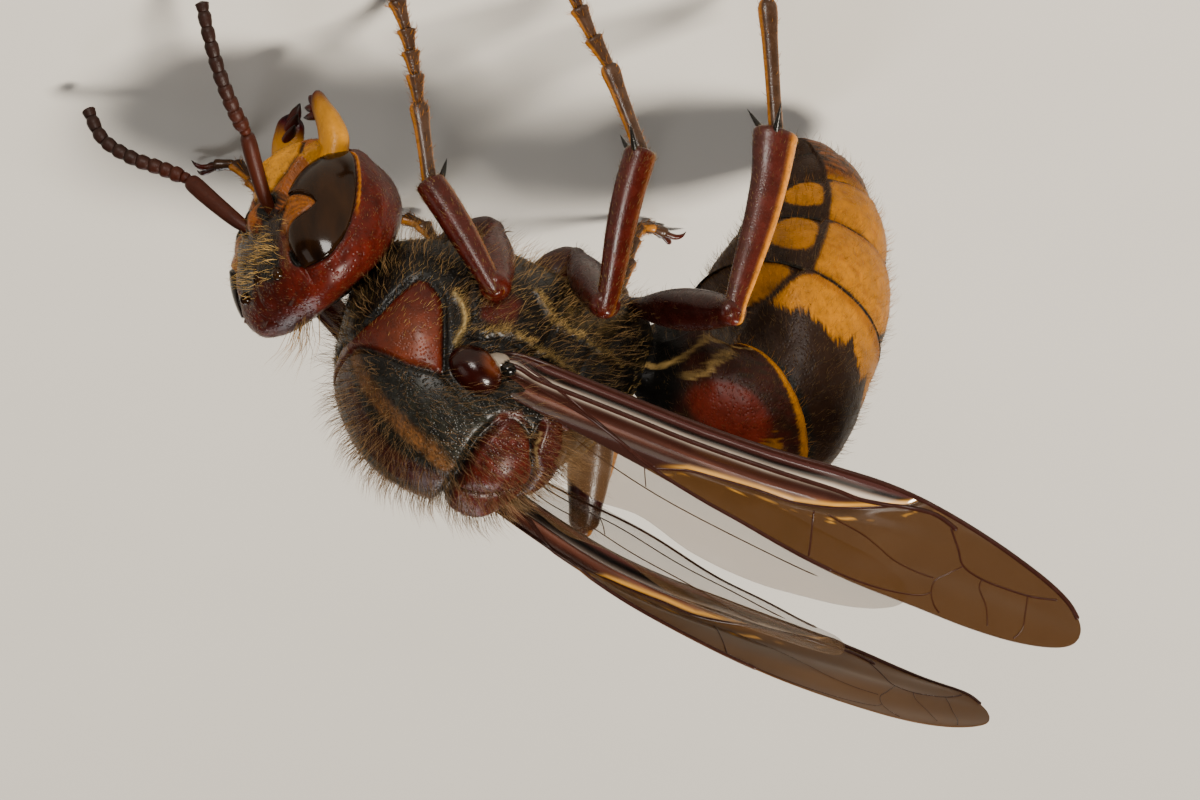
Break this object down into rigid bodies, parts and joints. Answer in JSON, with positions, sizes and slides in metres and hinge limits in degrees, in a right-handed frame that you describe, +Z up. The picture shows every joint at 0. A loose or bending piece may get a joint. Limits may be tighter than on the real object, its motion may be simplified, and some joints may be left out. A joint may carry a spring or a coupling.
{
  "type": "european hornet worker, life-size still model",
  "caption": "Life-size still model of a european hornet worker standing on its feet, wings folded back and abdomen curled under.",
  "frame": {"origin": "centre of the footprint's bounding box, on the floor under the feet", "axes": "+X towards the head, +Y to the animal's left, +Z up"},
  "size_m": [0.0278, 0.0204, 0.0195],
  "materials": {
    "abdomen_dark": "red-brown and black chitin with yellow hind rims",
    "abdomen_yellow": "yellow chitin with dark points and bases",
    "antenna": "dull red-brown, finely felted",
    "eye": "polished dark brown compound eye",
    "head": "satin deep red chitin, finely pitted, with short golden hair",
    "leg_dark": "dark maroon to black chitin, hairy",
    "leg_red": "glossy red-brown chitin with grey down",
    "mandible": "amber chitin with dark toothed edge",
    "thorax_dark": "black, pitted, under tawny hair",
    "thorax_plate": "satin red-brown chitin",
    "wing": "translucent amber membrane with dark brown veins"
  },
  "bodies": {
    "root": {"abdomen_1": "abdomen_dark", "abdomen_2": "abdomen_dark", "abdomen_3": "abdomen_yellow", "abdomen_4": "abdomen_yellow", "abdomen_5": "abdomen_yellow", "abdomen_6": "abdomen_yellow", "antenna_left_flagellum": "antenna", "antenna_left_scape": "antenna", "antenna_right_flagellum": "antenna", "antenna_right_scape": "antenna", "eye_left": "eye", "eye_right": "eye", "forewing_left": "wing", "forewing_right": "wing", "head": "head", "hindwing_left": "wing", "hindwing_right": "wing", "leg_front_left_coxa": "leg_dark", "leg_front_left_femur": "leg_dark", "leg_front_left_tarsus": "leg_red", "leg_front_left_tibia": "leg_red", "leg_front_right_coxa": "leg_dark", "leg_front_right_femur": "leg_dark", "leg_front_right_tarsus": "leg_red", "leg_front_right_tibia": "leg_red", "leg_hind_left_coxa": "leg_dark", "leg_hind_left_femur": "leg_dark", "leg_hind_left_tarsus": "leg_red", "leg_hind_left_tibia": "leg_red", "leg_hind_right_coxa": "leg_dark", "leg_hind_right_femur": "leg_dark", "leg_hind_right_tarsus": "leg_red", "leg_hind_right_tibia": "leg_red", "leg_middle_left_coxa": "leg_dark", "leg_middle_left_femur": "leg_dark", "leg_middle_left_tarsus": "leg_red", "leg_middle_left_tibia": "leg_red", "leg_middle_right_coxa": "leg_dark", "leg_middle_right_femur": "leg_dark", "leg_middle_right_tarsus": "leg_red", "leg_middle_right_tibia": "leg_red", "mandible_left": "mandible", "mandible_right": "mandible", "mesothorax": "thorax_dark", "metanotum": "thorax_plate", "pronotum": "thorax_plate", "propodeum": "thorax_dark", "scutellum": "thorax_plate", "tegula_left": "thorax_plate", "tegula_right": "thorax_plate"}
  },
  "joints": []
}
